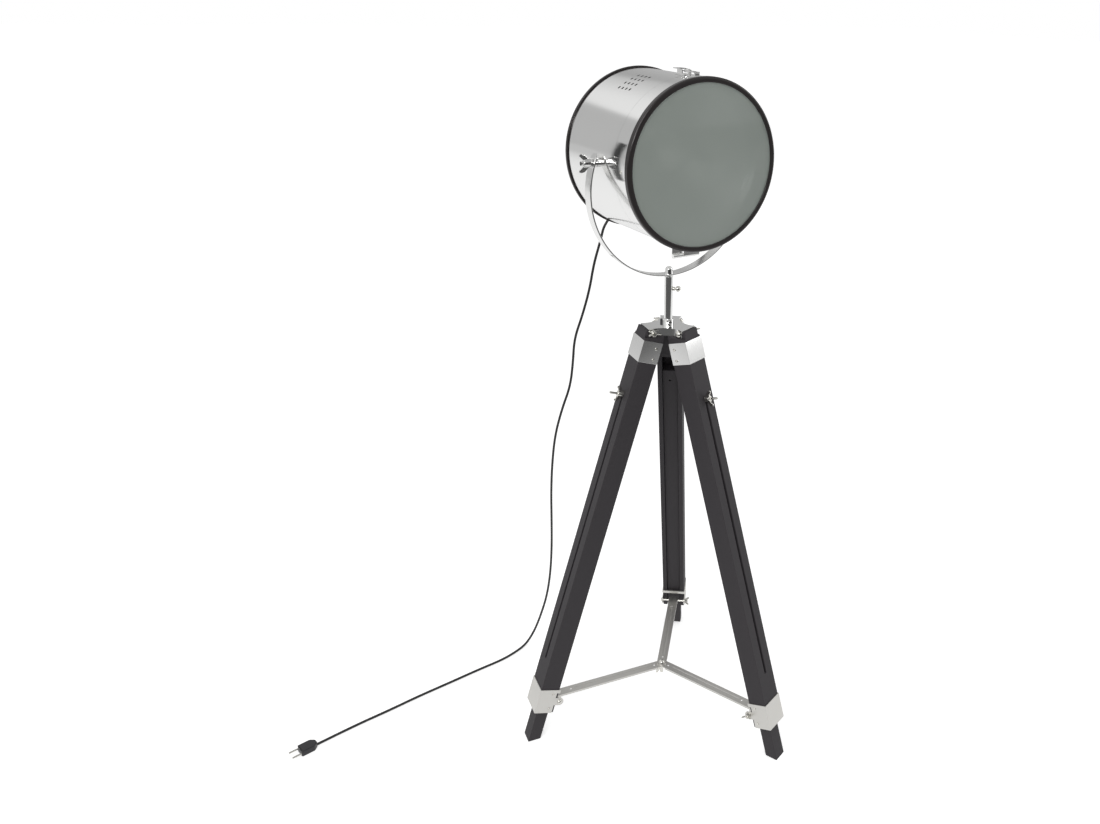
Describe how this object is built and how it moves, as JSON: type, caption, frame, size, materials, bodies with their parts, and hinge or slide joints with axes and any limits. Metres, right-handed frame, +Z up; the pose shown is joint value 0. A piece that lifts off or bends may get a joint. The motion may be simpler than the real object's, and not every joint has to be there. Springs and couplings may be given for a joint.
{
  "type": "tripod floor lamp",
  "caption": "Spotlight floor lamp: a drum head with a hinged glass door tilts in a stirrup yoke on a post above a wooden tripod with sliding legs.",
  "frame": {"origin": "on the floor, under the axis of the post, midway between the feet", "axes": "+Z up along the post; the lens faces -Y; +X is to the right of someone who looks along +Y into the lens"},
  "size_m": [0.9827, 0.6604, 1.4412],
  "materials": {
    "chrome": "mirror polished",
    "nickel": "satin nickel",
    "bright_steel": "polished",
    "black_wood": "black stain, open grain, satin",
    "black_enamel": "gloss",
    "black_plastic": "satin",
    "frosted_glass": "lightly frosted",
    "bulb_glass": "opal",
    "reflector_metal": "satin",
    "cord_black": "satin",
    "socket": "matte"
  },
  "bodies": {
    "stand": {"hub_casting": "chrome", "hub_stud": "black_enamel", "post_tube": "chrome", "post_collar": "chrome", "leg_pivot_bolts": "bright_steel", "outer_leg_right": "black_wood", "outer_leg_back": "black_wood", "outer_leg_left": "black_wood", "leg_ferrules": "chrome", "leg_screws": "bright_steel", "foot_brackets": "nickel", "arm_bolts": "bright_steel", "spreader_arm_right": "nickel", "spreader_arm_back": "nickel", "spreader_arm_left": "nickel", "spreader_bolt": "bright_steel", "cord_drop": "cord_black", "plug_body": "black_plastic", "plug_pins": "bright_steel"},
    "yoke": {"yoke_strap": "chrome", "yoke_dome_nut": "chrome", "yoke_stem": "chrome"},
    "head": {"drum_shell": "chrome", "back_rim": "black_enamel", "back_cap": "chrome", "pivot_studs": "chrome", "reflector": "reflector_metal", "lamp_holder": "socket", "bulb": "bulb_glass", "hinge_on_drum": "chrome", "latch_base": "chrome", "strain_relief": "black_plastic", "cord_top": "cord_black", "switch_housing": "black_plastic"},
    "door": {"door_band": "chrome", "front_rim": "black_enamel", "lens_glass": "frosted_glass", "band_screws": "bright_steel", "hinge_on_door": "chrome", "latch_catch": "chrome"},
    "latch_lever": {"latch_lever": "chrome"},
    "latch_bail": {"latch_bail": "chrome"},
    "switch_rocker": {"switch_rocker": "black_plastic"},
    "post_thumbscrew": {"post_thumbscrew": "bright_steel"},
    "spreader_wing_nut": {"spreader_wing_nut": "bright_steel"},
    "tilt_wing_nut_right": {"tilt_wing_nut_right": "chrome"},
    "tilt_wing_nut_left": {"tilt_wing_nut_left": "chrome"},
    "inner_leg_right": {"inner_leg_right": "black_wood"},
    "leg_clamp_right": {"leg_clamp_right": "bright_steel"},
    "pivot_wing_nut_right": {"pivot_wing_nut_right": "bright_steel"},
    "arm_wing_nut_right": {"arm_wing_nut_right": "bright_steel"},
    "inner_leg_back": {"inner_leg_back": "black_wood"},
    "leg_clamp_back": {"leg_clamp_back": "bright_steel"},
    "pivot_wing_nut_back": {"pivot_wing_nut_back": "bright_steel"},
    "arm_wing_nut_back": {"arm_wing_nut_back": "bright_steel"},
    "inner_leg_left": {"inner_leg_left": "black_wood"},
    "leg_clamp_left": {"leg_clamp_left": "bright_steel"},
    "pivot_wing_nut_left": {"pivot_wing_nut_left": "bright_steel"},
    "arm_wing_nut_left": {"arm_wing_nut_left": "bright_steel"}
  },
  "joints": [
    {"name": "head_pan", "type": "hinge", "parent": "stand", "child": "yoke", "pos_m": [0, 0, 1], "axis": [0, 0, 1], "range_deg": [-60, 60]},
    {"name": "head_tilt", "type": "hinge", "parent": "yoke", "child": "head", "pos_m": [0, 0, 1.2697], "axis": [-1, 0, 0], "range_deg": [-15, 60]},
    {"name": "door_open", "type": "hinge", "parent": "head", "child": "door", "pos_m": [0, -0.061, 1.0867], "axis": [1, 0, 0], "range_deg": [0, 65]},
    {"name": "latch_lift", "type": "hinge", "parent": "head", "child": "latch_lever", "pos_m": [0, -0.045, 1.4362], "axis": [1, 0, 0], "range_deg": [0, 100]},
    {"name": "latch_loop", "type": "hinge", "parent": "latch_lever", "child": "latch_bail", "pos_m": [0, -0.038, 1.4377], "axis": [1, 0, 0], "range_deg": [-100, 0]},
    {"name": "switch_rock", "type": "hinge", "parent": "head", "child": "switch_rocker", "pos_m": [0, 0.144, 1.2697], "axis": [-1, 0, 0], "range_deg": [0, 16]},
    {"name": "post_screw_turn", "type": "hinge", "parent": "stand", "child": "post_thumbscrew", "pos_m": [0, 0, 1.001], "axis": [0.829, -0.5592, 0], "continuous": true},
    {"name": "spreader_nut_turn", "type": "hinge", "parent": "stand", "child": "spreader_wing_nut", "pos_m": [0, 0, 0.09], "axis": [0, 0, -1], "continuous": true},
    {"name": "tilt_nut_right_turn", "type": "hinge", "parent": "head", "child": "tilt_wing_nut_right", "pos_m": [0.18, 0, 1.2697], "axis": [1, 0, 0], "continuous": true},
    {"name": "tilt_nut_left_turn", "type": "hinge", "parent": "head", "child": "tilt_wing_nut_left", "pos_m": [-0.18, 0, 1.2697], "axis": [-1, 0, 0], "continuous": true},
    {"name": "leg_slide_right", "type": "slide", "parent": "stand", "child": "inner_leg_right", "axis": [0.1077, -0.2659, -0.958], "range_m": [0, 0.6]},
    {"name": "leg_clamp_turn_right", "type": "hinge", "parent": "inner_leg_right", "child": "leg_clamp_right", "pos_m": [0.0404, -0.0997, 0.78694], "axis": [0.3598, -0.8878, 0.2869], "continuous": true},
    {"name": "pivot_nut_turn_right", "type": "hinge", "parent": "stand", "child": "pivot_wing_nut_right", "pos_m": [0.04395, -0.02858, 0.9175], "axis": [0.9268, 0.3756, 0], "continuous": true},
    {"name": "arm_nut_turn_right", "type": "hinge", "parent": "stand", "child": "arm_wing_nut_right", "pos_m": [0.06512, -0.24856, 0.09302], "axis": [-0.9268, -0.3756, 0], "continuous": true},
    {"name": "leg_slide_back", "type": "slide", "parent": "stand", "child": "inner_leg_back", "axis": [0.1764, 0.2262, -0.958], "range_m": [0, 0.6]},
    {"name": "leg_clamp_turn_back", "type": "hinge", "parent": "inner_leg_back", "child": "leg_clamp_back", "pos_m": [0.06614, 0.08484, 0.78694], "axis": [0.589, 0.7555, 0.2869], "continuous": true},
    {"name": "pivot_nut_turn_back", "type": "hinge", "parent": "stand", "child": "pivot_wing_nut_back", "pos_m": [0.00278, 0.05236, 0.9175], "axis": [-0.7887, 0.6148, 0], "continuous": true},
    {"name": "arm_nut_turn_back", "type": "hinge", "parent": "stand", "child": "arm_wing_nut_back", "pos_m": [0.1827, 0.18067, 0.09302], "axis": [0.7887, -0.6148, 0], "continuous": true},
    {"name": "leg_slide_left", "type": "slide", "parent": "stand", "child": "inner_leg_left", "axis": [-0.2841, 0.0396, -0.958], "range_m": [0, 0.6]},
    {"name": "leg_clamp_turn_left", "type": "hinge", "parent": "inner_leg_left", "child": "leg_clamp_left", "pos_m": [-0.10654, 0.01486, 0.78694], "axis": [-0.9488, 0.1323, 0.2869], "continuous": true},
    {"name": "pivot_nut_turn_left", "type": "hinge", "parent": "stand", "child": "pivot_wing_nut_left", "pos_m": [-0.04673, -0.02377, 0.9175], "axis": [-0.1381, -0.9904, 0], "continuous": true},
    {"name": "arm_nut_turn_left", "type": "hinge", "parent": "stand", "child": "arm_wing_nut_left", "pos_m": [-0.24782, 0.06788, 0.09302], "axis": [0.1381, 0.9904, 0], "continuous": true}
  ],
  "couplings": [
    {"joint": "latch_loop", "follows": "latch_lift", "ratio": -1}
  ]
}
